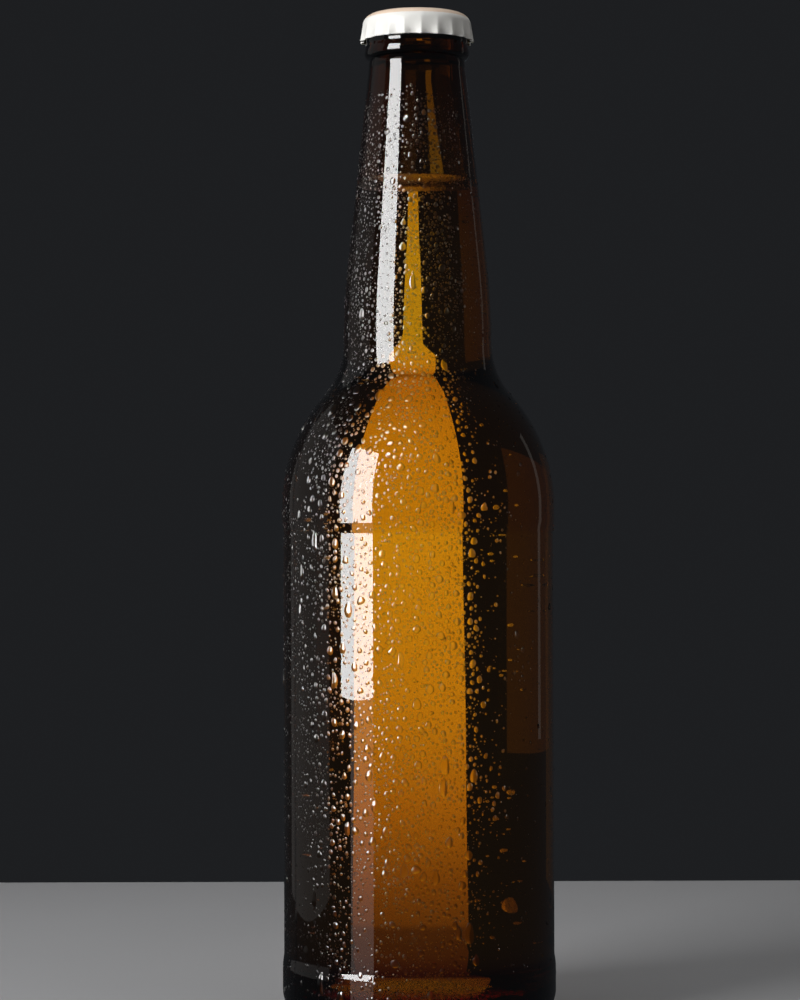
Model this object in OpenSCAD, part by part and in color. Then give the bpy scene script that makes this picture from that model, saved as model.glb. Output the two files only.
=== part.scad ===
// Long-neck beer bottle of half a litre: an amber glass bottle filled with beer
// and shut with a fluted crown cap over a sealing liner.
// Millimetres, +Z up, origin on the bottle's axis in the plane that it stands on.

/* [Bottle] */
// Height of the glass, from the standing plane to the lip
bottle_h = 251; // [215:1:300]
// Outer diameter of the body at its two contact bands
body_d = 68.6; // [58:0.1:82]
// Height at which the body ends and the shoulder begins
body_h = 128; // [104:1:154]
// Radius of the round shoulder
shoulder_r = 42; // [36:0.5:50]
// Radius of the hollow curve between shoulder and neck
neck_fillet_r = 20; // [17:0.5:24]
// Outer diameter of the neck where it leaves the shoulder
neck_d = 37.2; // [33:0.1:42]
// Radius of the long, barely rounded belly low on the neck
neck_belly_r = 180; // [150:1:216]

/* [Base] */
// Radius of the heel, between the body and the standing ring
heel_r = 7; // [5.8:0.1:8.4]
// Width of the flat ring that the bottle stands on
standing_w = 2.4; // [2:0.1:2.9]
// Height of the push-up under the base
push_up_h = 3.6; // [3:0.1:4.4]

/* [Label panel] */
// Depth of the label panel below the two contact bands
panel_depth = 0.35; // [0.25:0.01:0.45]
// Height of the contact band above the heel
heel_band_h = 6; // [5:0.1:7.2]
// Height of the contact band below the shoulder
shoulder_band_h = 3.2; // [2.6:0.1:3.9]
// Height of the slope between a band and the panel
panel_slope_h = 3.6; // [3:0.1:4.4]

/* [Glass thickness] */
// Wall of the body, the shoulder and the low neck
wall_t = 2.45; // [2.05:0.05:2.95]
// Thickness of the base over the standing ring
base_t = 5.6; // [4.6:0.1:6.8]
// Height by which the inner floor rises towards the axis
floor_rise = 2.6; // [2.1:0.1:3.2]
// Radius of the corner between the inner floor and the wall
floor_corner_r = 9; // [7.5:0.1:10.8]
// Diameter of the bore at the mouth
bore_d = 16.6; // [15:0.1:18.2]
// Length of the straight bore, down from the lip
bore_h = 15; // [12:0.5:18]

/* [Finish] */
// Diameter of the locking ring that the crown grips
lock_d = 26.6; // [24:0.1:32]
// Height of the locking ring's underside below the lip
lock_drop = 5.6; // [5:0.1:6.7]
// Height of the plain edge of the locking ring
lock_edge_h = 1.6; // [1.3:0.1:1.9]
// Radius under the locking ring
lock_round_r = 0.55; // [0.45:0.01:0.65]
// Distance that the waist stands inside the locking ring
waist_setback = 0.55; // [0.55:0.01:0.65]
// Height of the waist between the locking ring and the bead
waist_h = 1.5; // [1.2:0.1:1.8]
// Distance that the reinforcing bead stands inside the locking ring
bead_setback = 0.1; // [0:0.01:0.2]
// Height of the reinforcing bead
bead_h = 3.5; // [2.9:0.1:4.2]
// Distance that the neck stands inside the bead
neck_setback = 1.3; // [1.1:0.05:1.6]
// Distance that the lip's outer edge stands inside the locking ring
lip_setback = 0.8; // [0.65:0.05:0.95]
// Radius of the lip's outer edge
lip_outer_r = 1.5; // [1.2:0.1:1.8]
// Radius of the lip's inner edge
lip_inner_r = 1.0; // [0.8:0.1:1.2]

/* [Beer] */
// Height from the beer's level surface up to the bottle's rim
headspace_h = 44; // [30:1:80]
// Height that the beer climbs where it wets the wall
meniscus_h = 3.2; // [2.6:0.1:3.9]
// Slope of the beer where it meets the wall
meniscus_angle = 75; // [62:1:78]

/* [Crown cap] */
// Number of flutes round the skirt
flutes = 21; // [21]
// Thickness of the tinned steel
steel_t = 0.24; // [0.2:0.01:0.29]
// Outer radius of the crown's shoulder
crown_round_r = 3.0; // [2.5:0.1:3.4]
// Height from the crown's top to the tips of its flutes
crown_h = 7.0; // [6.6:0.1:7.4]
// Height that the flutes' hollows end above their tips
flute_arch_h = 0.35; // [0.25:0.01:0.45]
// Distance that the flutes' tips stand outside the locking ring
flute_reach = 1.1; // [0.95:0.05:1.3]
// Distance that the flutes' hollows tuck in under the locking ring
flute_tuck = 0.24; // [0.2:0.01:0.29]
// Thickness of the sealing liner
liner_t = 0.5; // [0.4:0.05:0.6]

/* [Hidden] */

$fn = 96;
arc_steps = 14;
ease_steps = 6;
// Share of its largest possible radius that the neck's belly keeps to
belly_fit = 0.99;
// Running gap between the crown's steel and the locking ring
lock_gap = 0.08;
// Gap at the side between the liner's rounded edge and the faceted steel round it
liner_gap = 0.3;
// Share of the liner's thickness that its rounded edge drops
liner_edge_drop = 0.6;
// Share of the skirt's depth at which the flutes' hollows start to tuck in
tuck_start = 0.75;
// Power that narrows the flutes' ridges against their hollows
ridge_power = 1.3;
// Angle at which the crown's round shoulder passes into its skirt
crown_bend = 78;

// ---- Outline helpers: every outline point is [radius, height] ----

// Points along an arc about a centre, from one angle to another
function arc(centre, r, from, to, steps = arc_steps) =
    [for (i = [0:steps]) let (a = from + (to - from) * i / steps) centre + r * [cos(a), sin(a)]];

// Points along a soft S-shaped step from one point to another
function ease(from, to) =
    [for (i = [0:ease_steps])
        let (t = i / ease_steps, s = t * t * (3 - 2 * t))
        [from.x + (to.x - from.x) * s, from.y + (to.y - from.y) * t]];

// Angle on a circle at which a line from an outside point above it touches it
function touch_angle(centre, r, point) =
    atan2(point.y - centre.y, point.x - centre.x) - acos(r / norm(point - centre));

// Points along a flat dome, from its top on the axis down to its edge
function dome(edge, rise) =
    let (r = (edge.x * edge.x + rise * rise) / (2 * rise))
    arc([0, edge.y + rise - r], r, 90, asin((r - rise) / r));

// Largest radius of an arc that starts upright at one point and still reaches the next
function upright_arc_limit(from, to) =
    (pow(from.x - to.x, 2) + pow(to.y - from.y, 2)) / (2 * (from.x - to.x));

function reversed(points) = [for (i = [len(points) - 1:-1:0]) points[i]];

// ---- Derived sizes of the bottle ----

body_r = body_d / 2;
neck_r = neck_d / 2;
bore_r = bore_d / 2;
lock_r = lock_d / 2;
inner_r = body_r - wall_t;
panel_r = body_r - panel_depth;
waist_r = lock_r - waist_setback;
bead_r = lock_r - bead_setback;
neck_top_r = bead_r - neck_setback;
lip_r = lock_r - lip_setback;

standing_out = body_r - heel_r;
standing_in = standing_out - standing_w;
shoulder_c = [body_r - shoulder_r, body_h];
fillet_x = neck_r + neck_fillet_r;
fillet_rise = sqrt(pow(shoulder_r + neck_fillet_r, 2) - pow(fillet_x - shoulder_c.x, 2));
fillet_c = [fillet_x, body_h + fillet_rise];
// Angle at which the shoulder's arc passes into the neck's hollow arc
shoulder_a = atan2(fillet_c.y - shoulder_c.y, fillet_c.x - shoulder_c.x);
lock_z = bottle_h - lock_drop;
waist_z = lock_z - waist_h;
bead_z = waist_z - bead_h;
bead_round_r = neck_setback;
bead_side_h = bead_h - bead_round_r;
bead_side_in = waist_setback - bead_setback;
// Radius of the bead's long upper curve
bead_side_r = (bead_side_h * bead_side_h + bead_side_in * bead_side_in) / (2 * bead_side_in);
neck_top = [neck_top_r, bead_z];
bore_end = [bore_r, bottle_h - bore_h];
// The belly's radius, held down where the neck is too short for it inside or outside
belly_limit = min(upright_arc_limit([neck_r, fillet_c.y], neck_top),
                  upright_arc_limit([neck_r - wall_t, fillet_c.y], bore_end) + wall_t);
belly_r = min(neck_belly_r, belly_fit * belly_limit);
belly_c = [neck_r - belly_r, fillet_c.y];

// ---- Outlines of the bottle ----

function base_outline() =
    concat(dome([standing_in, 0], push_up_h),
           arc([standing_out, heel_r], heel_r, -90, 0));

function panel_outline() =
    let (low = heel_r + heel_band_h, high = body_h - shoulder_band_h)
    concat(ease([body_r, low], [panel_r, low + panel_slope_h]),
           ease([panel_r, high - panel_slope_h], [body_r, high]));

function shoulder_outline() =
    concat(arc(shoulder_c, shoulder_r, 0, shoulder_a),
           arc(fillet_c, neck_fillet_r, 180 + shoulder_a, 180));

function neck_outline() =
    arc(belly_c, belly_r, 0, touch_angle(belly_c, belly_r, neck_top));

function bead_outline() =
    concat([neck_top],
           arc([bead_r - bead_round_r, bead_z + bead_round_r], bead_round_r, -90, 0),
           arc([bead_r - bead_side_r, bead_z + bead_round_r], bead_side_r,
               0, asin(bead_side_h / bead_side_r)));

function lip_outline() =
    concat([[waist_r, lock_z]],
           arc([lock_r - lock_round_r, lock_z + lock_round_r], lock_round_r, -90, 0),
           [[lock_r, lock_z + lock_round_r + lock_edge_h]],
           arc([lip_r - lip_outer_r, bottle_h - lip_outer_r], lip_outer_r, 0, 90),
           arc([bore_r + lip_inner_r, bottle_h - lip_inner_r], lip_inner_r, 90, 180));

// The inside, from the floor's centre up to the bore's lower end
function inner_outline() =
    let (floor_edge = [inner_r - floor_corner_r, base_t])
    concat(dome(floor_edge, floor_rise),
           arc(floor_edge + [0, floor_corner_r], floor_corner_r, -90, 0),
           arc(shoulder_c, shoulder_r - wall_t, 0, shoulder_a),
           arc(fillet_c, neck_fillet_r + wall_t, 180 + shoulder_a, 180),
           arc(belly_c, belly_r - wall_t, 0, touch_angle(belly_c, belly_r - wall_t, bore_end)),
           [bore_end]);

// Inner radius of the glass at a height
function inner_r_at(z) = lookup(z, [for (p = inner_outline()) [p.y, p.x]]);

module glass_bottle() {
    color([0.30, 0.15, 0.03])
        rotate_extrude()
            polygon(concat(base_outline(), panel_outline(), shoulder_outline(), neck_outline(),
                           bead_outline(), lip_outline(), reversed(inner_outline())));
}

// ---- Beer: the inside up to its level, with a wetted edge that climbs the wall ----

meniscus_r = meniscus_h / (1 - cos(meniscus_angle));
fill_z = bottle_h - headspace_h;
edge_z = fill_z + meniscus_h;
edge_r = inner_r_at(edge_z);
flat_r = edge_r - meniscus_r * sin(meniscus_angle);

function beer_outline() =
    concat([for (p = inner_outline()) if (p.y < edge_z) p],
           arc([flat_r, fill_z + meniscus_r], meniscus_r, meniscus_angle - 90, -90),
           [[0, fill_z]]);

module beer() {
    color([0.86, 0.55, 0.08])
        rotate_extrude()
            polygon(beer_outline());
}

// ---- Crown cap: one steel disc drawn down into a fluted skirt ----

crown_top = bottle_h + liner_t + steel_t;
crown_r = lock_r + flute_reach;
hollow_r = lock_r + lock_gap + steel_t;
crown_flat_r = hollow_r - crown_round_r * sin(crown_bend);
crown_arc_z = crown_top - crown_round_r;
skirt_z = crown_arc_z + crown_round_r * cos(crown_bend);
tip_z = crown_top - crown_h;
shoulder_steps = 5;
skirt_steps = 4;
flute_sides = 6;
ring_count = flutes * flute_sides;

// How far a direction lies on a flute's ridge: 1 on the ridge, 0 in the hollow
function ridge(a) = pow((1 + cos(flutes * a)) / 2, ridge_power);

// Radius of the skirt's outside at a share of its depth, in the hollows and on the ridges
function hollow_at(t) = hollow_r - flute_tuck * max(0, (t - tuck_start) / (1 - tuck_start));
function ridge_at(t) = hollow_r + (crown_r - hollow_r) * t;

// Skirt point at a share of the depth, in a direction, set in by a thickness
function skirt_point(t, a, inset) =
    let (w = ridge(a), foot = tip_z + flute_arch_h * (1 - w))
    [hollow_at(t) * (1 - w) + ridge_at(t) * w - inset, skirt_z + (foot - skirt_z) * t];

// The shell's outside from the flat top to the rim, set in by a thickness
function shell_side(a, inset) =
    concat([for (i = [0:shoulder_steps])
               let (b = crown_bend * i / shoulder_steps)
               [crown_flat_r + (crown_round_r - inset) * sin(b),
                crown_arc_z + (crown_round_r - inset) * cos(b)]],
           [for (i = [1:skirt_steps]) skirt_point(i / skirt_steps, a, inset)]);

function shell_section(a) = concat(shell_side(a, 0), reversed(shell_side(a, steel_t)));

module crown_cap() {
    points = [for (i = [0:ring_count - 1])
                 let (a = 360 * i / ring_count)
                 for (p = shell_section(a)) [p.x * cos(a), p.x * sin(a), p.y]];
    span = len(points) / ring_count;
    outer_apex = len(points);
    inner_apex = outer_apex + 1;
    faces = [for (i = [0:ring_count - 1])
                let (here = i * span, next = ((i + 1) % ring_count) * span)
                for (f = concat([[outer_apex, next, here],
                                 [inner_apex, here + span - 1, next + span - 1]],
                                [for (k = [0:span - 2]) [here + k, next + k, next + k + 1]],
                                [for (k = [0:span - 2]) [here + k, next + k + 1, here + k + 1]]))
                f];
    color([0.95, 0.94, 0.92])
        polyhedron(concat(points, [[0, 0, crown_top], [0, 0, crown_top - steel_t]]), faces);
}

// ---- Liner: the seal between the steel and the lip ----

module cap_liner() {
    edge_arc_r = crown_round_r - steel_t;
    liner_top = bottle_h + liner_t;
    // Angle from the axis at which the rounded edge ends above the lip
    edge_a = acos(1 - liner_t * liner_edge_drop / edge_arc_r);
    edge = arc([crown_flat_r - liner_gap, liner_top - edge_arc_r], edge_arc_r, 90, 90 - edge_a,
               ease_steps);
    color([0.80, 0.80, 0.78])
        rotate_extrude()
            polygon(concat([[0, liner_top]], edge, [[edge[ease_steps].x, bottle_h], [0, bottle_h]]));
}

glass_bottle();
beer();
crown_cap();
cap_liner();
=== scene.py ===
"""Half-litre long-neck beer bottle: amber glass, golden beer, an enamelled crown cap and condensation.

Sizes are in millimetres, with +Z up and the origin on the bottle's axis in its standing plane.
Meshes are scaled to metres when they are made. Angles round the bottle are in degrees from the
side that faces the camera, positive to the right.
"""

from __future__ import annotations

import logging
import math
from dataclasses import dataclass, field
from enum import Enum
from itertools import product
from typing import Callable, Iterable, Sequence

import bpy
import numpy as np
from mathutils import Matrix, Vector

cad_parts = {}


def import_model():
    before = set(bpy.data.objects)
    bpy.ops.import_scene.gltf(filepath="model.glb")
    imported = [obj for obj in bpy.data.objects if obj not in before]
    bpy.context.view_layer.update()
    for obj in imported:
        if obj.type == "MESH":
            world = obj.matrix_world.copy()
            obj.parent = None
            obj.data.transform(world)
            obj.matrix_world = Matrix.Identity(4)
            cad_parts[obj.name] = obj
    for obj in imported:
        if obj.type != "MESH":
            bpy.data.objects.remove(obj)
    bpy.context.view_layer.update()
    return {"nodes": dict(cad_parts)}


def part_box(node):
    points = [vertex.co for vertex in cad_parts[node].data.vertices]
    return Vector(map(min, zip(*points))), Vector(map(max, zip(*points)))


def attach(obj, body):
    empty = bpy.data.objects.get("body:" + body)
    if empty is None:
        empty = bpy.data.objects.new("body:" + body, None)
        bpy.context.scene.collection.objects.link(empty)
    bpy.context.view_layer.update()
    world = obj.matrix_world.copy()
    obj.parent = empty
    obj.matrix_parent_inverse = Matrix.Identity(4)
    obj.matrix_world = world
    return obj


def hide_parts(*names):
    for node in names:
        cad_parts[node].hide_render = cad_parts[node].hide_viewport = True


LOG = logging.getLogger("beer_bottle")
MM = 0.001
BODY = "root"
WHITE = (1.0, 1.0, 1.0)
RAY_KINDS = ("diffuse", "glossy", "transmission")
WETTED = "wetted"
UNDERSIDE = "underside"
INSIDE = "inside"
Outline = np.ndarray  # rows of (radius, height)
Colour = tuple[float, float, float]


# ---------------------------------------------------------------- shader maths


class Sock:
    """A shader value: an output socket, with operators that add Math nodes."""

    def __init__(self, shader: "Shader", socket: bpy.types.NodeSocket) -> None:
        """Wraps one output socket.

        Args:
            shader: the node tree builder that owns the socket.
            socket: the output socket.
        """
        self.shader = shader
        self.socket = socket

    def _math(self, operation: str, *values: "Sock | float") -> "Sock":
        """Adds a Math node.

        Args:
            operation: the node's operation.
            values: its inputs, in order.

        Returns:
            The node's value.
        """
        inputs = dict(enumerate(values))
        return self.shader.node("ShaderNodeMath", {"operation": operation}, inputs)

    def __add__(self, other: "Sock | float") -> "Sock":
        """Sum."""
        return self._math("ADD", self, other)

    __radd__ = __add__

    def __sub__(self, other: "Sock | float") -> "Sock":
        """Difference."""
        return self._math("SUBTRACT", self, other)

    def __rsub__(self, other: float) -> "Sock":
        """Difference with the number first."""
        return self._math("SUBTRACT", other, self)

    def __mul__(self, other: "Sock | float") -> "Sock":
        """Product."""
        return self._math("MULTIPLY", self, other)

    __rmul__ = __mul__

    def __lt__(self, other: "Sock | float") -> "Sock":
        """One where this is less than the other, else zero."""
        return self._math("LESS_THAN", self, other)

    def maximum(self, other: "Sock | float") -> "Sock":
        """The larger of the two."""
        return self._math("MAXIMUM", self, other)

    def ramp(self, low: float, high: float) -> "Sock":
        """A smooth step from 0 at low to 1 at high.

        Args:
            low: where the step starts.
            high: where it ends.

        Returns:
            The step's value.
        """
        settings = {"interpolation_type": "SMOOTHSTEP"}
        inputs = {"Value": self, "From Min": low, "From Max": high}
        return self.shader.node("ShaderNodeMapRange", settings, inputs)


@dataclass
class Shader:
    """Builds one material's node tree."""

    material: bpy.types.Material

    def __post_init__(self) -> None:
        """Clears the tree and adds its output."""
        self.material.use_nodes = True
        self.tree = self.material.node_tree
        self.tree.nodes.clear()
        self.output = self.tree.nodes.new("ShaderNodeOutputMaterial")

    def node(
        self, kind: str, settings: dict | None = None, inputs: dict | None = None, out: int | str = 0
    ) -> Sock:
        """Adds one node of any type.

        Args:
            kind: the node's type.
            settings: its properties, set first; a ramp's stops are given as "stops".
            inputs: values or links for its sockets, by name or number.
            out: the output that is returned.

        Returns:
            The chosen output.
        """
        made = self.tree.nodes.new(kind)
        for name, value in (settings or {}).items():
            if name == "stops":
                self._set_stops(made.color_ramp, value)
            else:
                setattr(made, name, value)
        for key, value in (inputs or {}).items():
            self.feed(made.inputs[key], value)
        return Sock(self, made.outputs[out])

    def feed(self, socket: bpy.types.NodeSocket, value: "Sock | float | Sequence[float]") -> None:
        """Links a value to a socket, or sets the socket's own value.

        Args:
            socket: the input socket.
            value: a shader value, a number or a colour.
        """
        if isinstance(value, Sock):
            self.tree.links.new(value.socket, socket)
        elif isinstance(value, (tuple, list)) and len(value) == 3 and len(socket.default_value) == 4:
            socket.default_value = (*value, 1.0)
        else:
            socket.default_value = value

    @staticmethod
    def _set_stops(ramp: bpy.types.ColorRamp, stops: Sequence[tuple[float, Sequence[float]]]) -> None:
        """Sets a ramp's stops.

        Args:
            ramp: the ramp.
            stops: each stop's position and colour.
        """
        while len(ramp.elements) < len(stops):
            ramp.elements.new(1.0)
        for element, (position, colour) in zip(ramp.elements, stops):
            element.position = position
            element.color = (*colour, 1.0)

    def position(self) -> Sock:
        """The shaded point in the object's own space, in metres."""
        return self.node("ShaderNodeTexCoord", out="Object")

    def outside(self) -> Sock:
        """One where the surface is met from its front, else zero."""
        return 1.0 - self.node("ShaderNodeNewGeometry", out="Backfacing")

    def part(self, vector: Sock, axis: str) -> Sock:
        """One component, X, Y or Z, of a vector."""
        return self.node("ShaderNodeSeparateXYZ", inputs={0: vector}, out=axis)

    def mark(self, attribute: str) -> Sock:
        """The value of 0 or 1 that marks the shaded face."""
        return self.node("ShaderNodeAttribute", {"attribute_name": attribute}, out="Fac")

    def unbent(self, roughness: float = 0.0) -> Sock:
        """A clear surface that bends no light, and blurs it if it is rough."""
        inputs = {"Color": WHITE, "Roughness": roughness, "IOR": 1.0}
        return self.node("ShaderNodeBsdfRefraction", inputs=inputs)

    def mix_shader(self, factor: Sock | float, first: Sock, second: Sock) -> Sock:
        """Mixes two shaders: the first where the factor is 0, the second where it is 1."""
        return self.node("ShaderNodeMixShader", inputs={0: factor, 1: first, 2: second})

    def noise(
        self, vector: Sock, scale: float, detail: float = 2.0, stretch: Sequence[float] = (1.0, 1.0, 1.0)
    ) -> Sock:
        """Noise over the surface.

        Args:
            vector: the coordinates.
            scale: features per metre.
            detail: octaves.
            stretch: scale of each axis before the noise.

        Returns:
            The noise, about 0.5 on average.
        """
        mapped = self.node("ShaderNodeMapping", inputs={"Vector": vector, "Scale": stretch})
        return self.node("ShaderNodeTexNoise", inputs={"Vector": mapped, "Scale": scale, "Detail": detail})

    def bump(self, height: Sock, distance: float) -> Sock:
        """A Bump node's normal.

        Args:
            height: the height field.
            distance: its full height in metres.

        Returns:
            The normal.
        """
        return self.node("ShaderNodeBump", inputs={"Height": height, "Distance": distance})

    def mix_colour(self, factor: Sock, low: Sequence[float] | Sock, high: Sequence[float] | Sock) -> Sock:
        """Mixes two colours by a factor."""
        settings = {"data_type": "RGBA"}
        return self.node("ShaderNodeMix", settings, {0: factor, 6: low, 7: high}, out=2)

    def finish(self, surface: Sock, volume: Sock | None = None) -> bpy.types.Material:
        """Connects the output.

        Args:
            surface: the surface shader.
            volume: the volume shader, if any.

        Returns:
            The material.
        """
        self.feed(self.output.inputs["Surface"], surface)
        if volume is not None:
            self.feed(self.output.inputs["Volume"], volume)
        return self.material


def absorption(colour: Colour, through: float) -> dict:
    """Settings of an absorbing volume.

    Args:
        colour: the share of red, green and blue light that passes.
        through: the thickness in millimetres that passes that share.

    Returns:
        The Volume Absorption node's colour and density.
    """
    rates = [-math.log(share) / (through * MM) for share in colour]
    density = max(rates)
    return {"Color": tuple(1 - rate / density for rate in rates), "Density": density}


# ---------------------------------------------------------------- finishes


@dataclass(frozen=True)
class AmberGlass:
    """Amber container glass that darkens with its thickness.

    Where water lies on it or beer wets it, the surface bends light only as much as glass does
    against that liquid. A ray that has come less far than drop_reach counts as coming out of a drop.
    """

    passes: Colour = (0.44, 0.198, 0.009)
    passes_through: float = 4.9
    index: float = 1.52
    wet_index: float = 1.14
    drop_reach: float = 1.15
    gloss: float = 1.0
    coat_index: float = 2.0
    roughness: float = 0.0
    ripple_height: float = 0.012
    ripple_scale: float = 55.0
    ripple_detail: float = 1.0
    ripple_stretch: tuple[float, float, float] = (1.0, 1.0, 0.25)

    def material(self) -> bpy.types.Material:
        """Makes the material."""
        shader = Shader(bpy.data.materials.new("amber_glass"))
        place = shader.position()
        ripple = shader.noise(place, self.ripple_scale, self.ripple_detail, self.ripple_stretch)
        normal = shader.bump(ripple, self.ripple_height * MM)
        wetted = shader.mark(WETTED)
        common = {
            "Base Color": WHITE,
            "Roughness": self.roughness,
            "Transmission Weight": 1.0,
            "Specular IOR Level": self.gloss,
        }
        polish = {
            "Coat Weight": shader.outside() * (1.0 - wetted),
            "Coat Roughness": 0.0,
            "Coat IOR": self.coat_index,
        }
        dry_inputs = {**common, **polish, "IOR": self.index, "Normal": normal}
        dry = shader.node("ShaderNodeBsdfPrincipled", inputs=dry_inputs)
        wet = shader.node("ShaderNodeBsdfPrincipled", inputs={**common, "IOR": self.wet_index})
        under_drop = shader.node("ShaderNodeLightPath", out="Ray Length") < self.drop_reach * MM
        surface = shader.mix_shader(under_drop.maximum(wetted), dry, wet)
        tint = absorption(self.passes, self.passes_through)
        volume = shader.node("ShaderNodeVolumeAbsorption", inputs=tint)
        return shader.finish(surface, volume)


@dataclass(frozen=True)
class GoldenBeer:
    """Clear golden beer with a trace of froth on its free surface."""

    passes: Colour = (0.93, 0.78, 0.12)
    passes_through: float = 64.0
    index: float = 1.345
    froth_roughness: float = 0.42
    froth_height: float = 0.25
    froth_scale: float = 900.0

    def material(self) -> bpy.types.Material:
        """Makes the material."""
        shader = Shader(bpy.data.materials.new("golden_beer"))
        froth = shader.noise(shader.position(), self.froth_scale)
        free = shader.node(
            "ShaderNodeBsdfPrincipled",
            inputs={
                "Base Color": WHITE,
                "Roughness": self.froth_roughness,
                "Transmission Weight": 1.0,
                "IOR": self.index,
                "Normal": shader.bump(froth, self.froth_height * MM),
            },
        )
        surface = shader.mix_shader(shader.mark(WETTED), free, shader.unbent())
        tint = absorption(self.passes, self.passes_through)
        volume = shader.node("ShaderNodeVolumeAbsorption", inputs=tint)
        return shader.finish(surface, volume)


@dataclass(frozen=True)
class Water:
    """Condensation water. Its hidden underside, inside the glass, bends nothing.

    Its skin lets a share of the light, its haze, pass unbent and slightly blurred.
    """

    index: float = 1.333
    gloss: float = 1.0
    coat_index: float = 2.0
    haze: float = 0.27
    haze_roughness: float = 0.32

    def material(self) -> bpy.types.Material:
        """Makes the material."""
        shader = Shader(bpy.data.materials.new("water"))
        clear = {
            "Base Color": WHITE,
            "Roughness": 0.0,
            "Transmission Weight": 1.0,
            "Specular IOR Level": self.gloss,
            "IOR": self.index,
        }
        polish = {"Coat Weight": shader.outside(), "Coat Roughness": 0.0, "Coat IOR": self.coat_index}
        drop = shader.node("ShaderNodeBsdfPrincipled", inputs={**clear, **polish})
        skin = shader.mix_shader(self.haze, drop, shader.unbent(self.haze_roughness))
        return shader.finish(shader.mix_shader(shader.mark(UNDERSIDE), skin, shader.unbent()))


@dataclass(frozen=True)
class CrownEnamel:
    """White enamel on tinned steel, with a pale beige field printed over the top."""

    white: Colour = (0.86, 0.85, 0.81)
    beige: Colour = (0.76, 0.59, 0.46)
    steel: Colour = (0.55, 0.54, 0.52)
    lacquer: Colour = (0.62, 0.50, 0.28)
    edge_wander: float = 0.25
    edge_scale: float = 900.0
    edge_blend: float = 0.12
    mottle_gain: float = 1.12
    mottle_scale: float = 160.0
    bare_edge: float = 0.16
    lacquer_metal: float = 0.8
    roughness: float = 0.26
    roughness_spread: float = 0.16
    roughness_scale: float = 420.0
    grain_height: float = 0.012
    grain_scale: float = 1500.0
    clear_coat: float = 0.35
    clear_coat_roughness: float = 0.08

    def material(self, top: float, field_drop: float, rim: float, inside: str) -> bpy.types.Material:
        """Makes the material.

        Args:
            top: height of the cap's top in millimetres.
            field_drop: distance from the top at which the beige field ends.
            rim: height of the lowest point of the skirt.
            inside: the attribute that marks the steel's inner side.

        Returns:
            The material.
        """
        shader = Shader(bpy.data.materials.new("crown_enamel"))
        place = shader.position()
        height = shader.part(place, "Z")
        wander = (shader.noise(place, self.edge_scale) - 0.5) * (self.edge_wander * MM)
        field_low = (top - field_drop - self.edge_blend) * MM
        field_high = (top - field_drop + self.edge_blend) * MM
        beige = (height + wander).ramp(field_low, field_high)
        mottle = shader.noise(place, self.mottle_scale, 3.0)
        light_beige = tuple(min(1.0, c * self.mottle_gain) for c in self.beige)
        field_colour = shader.mix_colour(mottle, self.beige, light_beige)
        paint = shader.mix_colour(beige, self.white, field_colour)
        bare = (height + wander) < (rim + self.bare_edge) * MM
        inner = shader.mark(inside)
        colour = shader.mix_colour(bare, paint, self.steel)
        colour = shader.mix_colour(inner, colour, self.lacquer)
        worn = shader.noise(place, self.roughness_scale, 3.0)
        surface = shader.node(
            "ShaderNodeBsdfPrincipled",
            inputs={
                "Base Color": colour,
                "Metallic": bare.maximum(inner * self.lacquer_metal),
                "Roughness": self.roughness + worn * self.roughness_spread,
                "Normal": shader.bump(shader.noise(place, self.grain_scale), self.grain_height * MM),
                "Coat Weight": self.clear_coat,
                "Coat Roughness": self.clear_coat_roughness,
            },
        )
        return shader.finish(surface)


@dataclass(frozen=True)
class LinerPlastic:
    """Pale grey sealing compound."""

    colour: Colour = (0.62, 0.62, 0.60)
    dark_share: float = 0.85
    mottle_scale: float = 700.0
    roughness: float = 0.55
    grain_height: float = 0.02

    def material(self) -> bpy.types.Material:
        """Makes the material."""
        shader = Shader(bpy.data.materials.new("liner_plastic"))
        place = shader.position()
        mottle = shader.noise(place, self.mottle_scale, 3.0)
        colour = shader.mix_colour(mottle, self.colour, tuple(c * self.dark_share for c in self.colour))
        normal = shader.bump(mottle, self.grain_height * MM)
        inputs = {"Base Color": colour, "Roughness": self.roughness, "Normal": normal}
        return shader.finish(shader.node("ShaderNodeBsdfPrincipled", inputs=inputs))


@dataclass(frozen=True)
class PaleTable:
    """Matte pale tabletop."""

    colour: Colour = (0.46, 0.46, 0.47)
    dark_share: float = 0.9
    mottle_scale: float = 9.0
    roughness: float = 0.5

    def material(self) -> bpy.types.Material:
        """Makes the material."""
        shader = Shader(bpy.data.materials.new("pale_table"))
        mottle = shader.noise(shader.position(), self.mottle_scale, 4.0)
        colour = shader.mix_colour(mottle, self.colour, tuple(c * self.dark_share for c in self.colour))
        inputs = {"Base Color": colour, "Roughness": self.roughness}
        return shader.finish(shader.node("ShaderNodeBsdfPrincipled", inputs=inputs))


# ---------------------------------------------------------------- outlines and meshes


def arc(centre: tuple[float, float], radius: float, start: float, end: float, step: float = 3.0) -> Outline:
    """Points along an arc.

    Args:
        centre: the arc's centre.
        radius: its radius.
        start: the angle of its first point in degrees.
        end: the angle of its last point in degrees.
        step: the largest turn between two points in degrees.

    Returns:
        The points.
    """
    count = max(2, math.ceil(abs(end - start) / step) + 1)
    angles = np.radians(np.linspace(start, end, count))
    return np.column_stack([centre[0] + radius * np.cos(angles), centre[1] + radius * np.sin(angles)])


def line(start: Sequence[float], end: Sequence[float], pitch: float) -> Outline:
    """Points along a straight line, at most a pitch apart, without its first point."""
    start, end = np.array(start, float), np.array(end, float)
    count = max(1, math.ceil(float(np.linalg.norm(end - start)) / pitch))
    return start + (end - start) * (np.arange(1, count + 1) / count)[:, None]


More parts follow.
